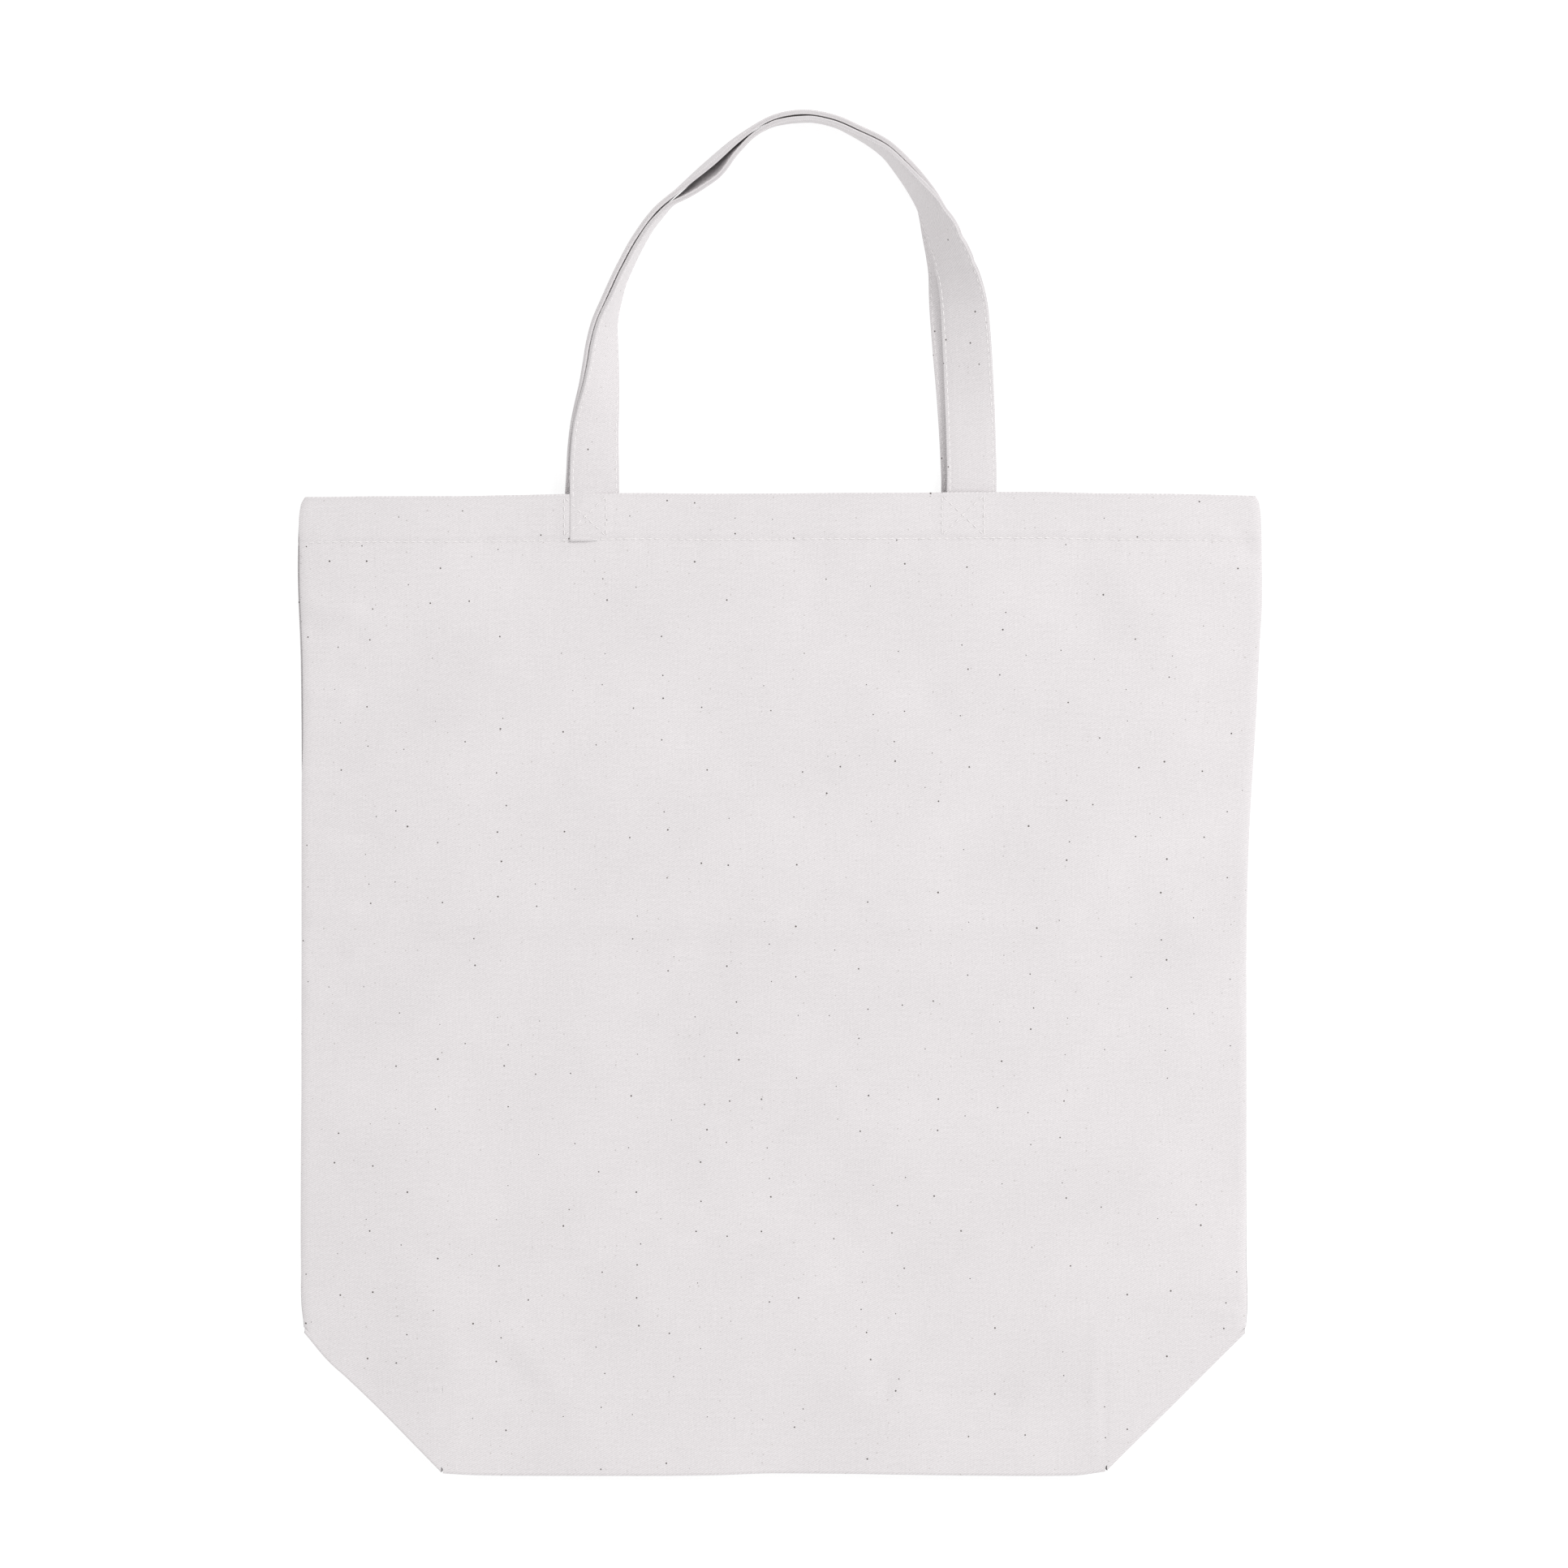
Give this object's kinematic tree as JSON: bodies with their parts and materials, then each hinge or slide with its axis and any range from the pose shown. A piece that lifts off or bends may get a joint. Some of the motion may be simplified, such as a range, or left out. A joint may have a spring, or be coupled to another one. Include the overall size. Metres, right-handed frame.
{
  "type": "canvas tote bag",
  "caption": "Plain canvas tote bag with a boxed bottom folded inwards and two canvas handles, lying flat; it opens out into a box.",
  "frame": {"origin": "on the surface that the bag lies on, under the middle of the whole bag with its handles", "axes": "+X across the bag to the right as seen from the front, +Y from the bottom edge to the mouth and handles, +Z out of the back panel towards the front panel"},
  "size_m": [0.4754, 0.6855, 0.0266],
  "materials": {
    "canvas": "matte natural cotton twill",
    "strap": "matte canvas strap, folded and edge-stitched",
    "thread": "matte cotton sewing thread"
  },
  "bodies": {
    "back": {"back_panel": "canvas", "back_hem": "canvas", "back_hem_stitching": "thread", "back_handle_end_left": "strap", "back_handle_end_right": "strap", "back_handle_end_stitching": "thread"},
    "bottom_rear": {"bottom_rear": "canvas"},
    "bottom_front": {"bottom_front": "canvas"},
    "front": {"front_panel": "canvas", "front_hem": "canvas", "front_hem_stitching": "thread", "front_handle_end_left": "strap", "front_handle_end_right": "strap", "front_handle_end_stitching": "thread"},
    "side_back_left": {"side_back_left": "canvas", "side_hem_back_left": "canvas", "side_hem_stitching_back_left": "thread", "side_seam_left": "canvas"},
    "corner_back_left": {"corner_back_left": "canvas"},
    "side_back_right": {"side_back_right": "canvas", "side_hem_back_right": "canvas", "side_hem_stitching_back_right": "thread", "side_seam_right": "canvas"},
    "corner_back_right": {"corner_back_right": "canvas"},
    "side_front_left": {"side_front_left": "canvas", "side_hem_front_left": "canvas", "side_hem_stitching_front_left": "thread"},
    "corner_front_left": {"corner_front_left": "canvas"},
    "side_front_right": {"side_front_right": "canvas", "side_hem_front_right": "canvas", "side_hem_stitching_front_right": "thread"},
    "corner_front_right": {"corner_front_right": "canvas"},
    "front_handle": {"front_handle": "strap"},
    "back_handle": {"back_handle": "strap"}
  },
  "joints": [
    {"name": "bottom_unfold", "type": "hinge", "parent": "back", "child": "bottom_rear", "pos_m": [0, -0.34275, 0.0024], "axis": [1, 0, 0], "range_deg": [0, 87.06]},
    {"name": "bottom_centre_fold", "type": "hinge", "parent": "bottom_rear", "child": "bottom_front", "pos_m": [0, -0.27385, 0.006], "axis": [1, 0, 0], "range_deg": [-174.08, 0]},
    {"name": "front_unfold", "type": "hinge", "parent": "bottom_front", "child": "front", "pos_m": [0, -0.34275, 0.0096], "axis": [1, 0, 0], "range_deg": [0, 87.01]},
    {"name": "side_back_left_fold", "type": "hinge", "parent": "back", "child": "side_back_left", "pos_m": [-0.167, -0.27175, 0.0004], "axis": [0, 1, 0], "range_deg": [0, 87.06]},
    {"name": "corner_back_left_fold", "type": "hinge", "parent": "side_back_left", "child": "corner_back_left", "pos_m": [-0.16697, -0.34275, 0.001], "axis": [0.7061, -0.7071, -0.0368], "range_deg": [0, 175.87], "deforming": ["corner_back_left"]},
    {"name": "side_back_right_fold", "type": "hinge", "parent": "back", "child": "side_back_right", "pos_m": [0.167, -0.27175, 0.0004], "axis": [0, -1, 0], "range_deg": [0, 87.06]},
    {"name": "corner_back_right_fold", "type": "hinge", "parent": "side_back_right", "child": "corner_back_right", "pos_m": [0.16697, -0.34275, 0.001], "axis": [0.7061, 0.7071, 0.0368], "range_deg": [0, 175.87], "deforming": ["corner_back_right"]},
    {"name": "side_front_left_fold", "type": "hinge", "parent": "front", "child": "side_front_left", "pos_m": [-0.167, -0.27175, 0.0116], "axis": [0, -1, 0], "range_deg": [0, 87.06]},
    {"name": "corner_front_left_fold", "type": "hinge", "parent": "side_front_left", "child": "corner_front_left", "pos_m": [-0.16697, -0.34275, 0.011], "axis": [-0.7061, 0.7071, -0.0368], "range_deg": [0, 175.87], "deforming": ["corner_front_left"]},
    {"name": "side_front_right_fold", "type": "hinge", "parent": "front", "child": "side_front_right", "pos_m": [0.167, -0.27175, 0.0116], "axis": [0, 1, 0], "range_deg": [0, 87.06]},
    {"name": "corner_front_right_fold", "type": "hinge", "parent": "side_front_right", "child": "corner_front_right", "pos_m": [0.16697, -0.34275, 0.011], "axis": [-0.7061, -0.7071, 0.0368], "range_deg": [0, 175.87], "deforming": ["corner_front_right"]},
    {"name": "front_handle_flop", "type": "hinge", "parent": "front", "child": "front_handle", "pos_m": [0, 0.15125, 0.013], "axis": [1, 0, 0], "range_deg": [0, 165]},
    {"name": "back_handle_flop", "type": "hinge", "parent": "back", "child": "back_handle", "pos_m": [0, 0.15125, -0.001], "axis": [1, 0, 0], "range_deg": [-165, 0]}
  ],
  "couplings": [
    {"joint": "bottom_centre_fold", "follows": "front_unfold", "ratio": -2},
    {"joint": "bottom_unfold", "follows": "front_unfold", "ratio": 1},
    {"joint": "side_back_left_fold", "follows": "front_unfold", "ratio": 1},
    {"joint": "corner_back_left_fold", "follows": "front_unfold", "ratio": 2.0201},
    {"joint": "side_back_right_fold", "follows": "front_unfold", "ratio": 1},
    {"joint": "corner_back_right_fold", "follows": "front_unfold", "ratio": 2.0201},
    {"joint": "side_front_left_fold", "follows": "front_unfold", "ratio": 1},
    {"joint": "corner_front_left_fold", "follows": "front_unfold", "ratio": 2.0201},
    {"joint": "side_front_right_fold", "follows": "front_unfold", "ratio": 1},
    {"joint": "corner_front_right_fold", "follows": "front_unfold", "ratio": 2.0201}
  ]
}
